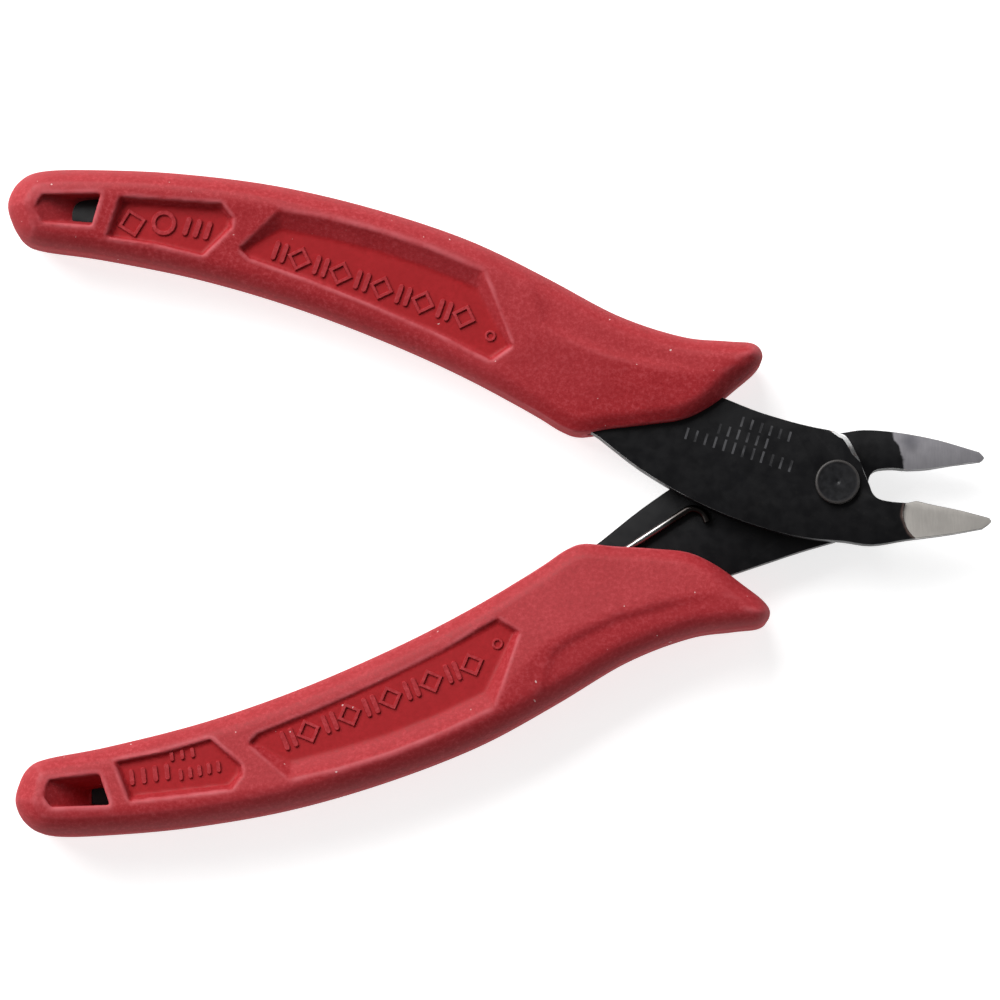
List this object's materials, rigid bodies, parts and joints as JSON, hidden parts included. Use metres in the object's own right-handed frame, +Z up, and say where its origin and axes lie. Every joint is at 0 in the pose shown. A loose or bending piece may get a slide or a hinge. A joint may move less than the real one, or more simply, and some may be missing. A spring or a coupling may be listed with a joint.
{
  "type": "diagonal cutting pliers",
  "caption": "Small flush-cutting diagonal pliers with lapped steel levers, a rivet pivot, a wire return spring and moulded red grips, handles open.",
  "frame": {"origin": "on the surface the tool lies on, under the middle of its outline with the handles open", "axes": "+X along the tool towards the jaws, +Y across the tool towards the handle of the lever that lies on top, +Z up, along the pivot"},
  "size_m": [0.1228, 0.084, 0.011],
  "materials": {
    "lever_steel": "black oxide on pressed steel plate, bare ground steel at the jaws",
    "rivet_steel": "black oxide, slightly worn",
    "spring_wire": "dark drawn spring wire",
    "grip_rubber": "matte red moulded rubber with a fine grain"
  },
  "bodies": {
    "rear_half": {"rear_lever": "lever_steel", "lower_grip": "grip_rubber", "pivot_rivet": "rivet_steel", "return_spring": "spring_wire"},
    "front_half": {"front_lever": "lever_steel", "upper_grip": "grip_rubber"}
  },
  "joints": [
    {"name": "pivot", "type": "hinge", "parent": "rear_half", "child": "front_half", "pos_m": [0.0422, 0, 0.0055], "axis": [0, 0, 1], "range_deg": [0, 21], "stiffness_Nm_per_rad": 0.6, "springref_deg": -17.19, "deforming": ["return_spring"]}
  ]
}
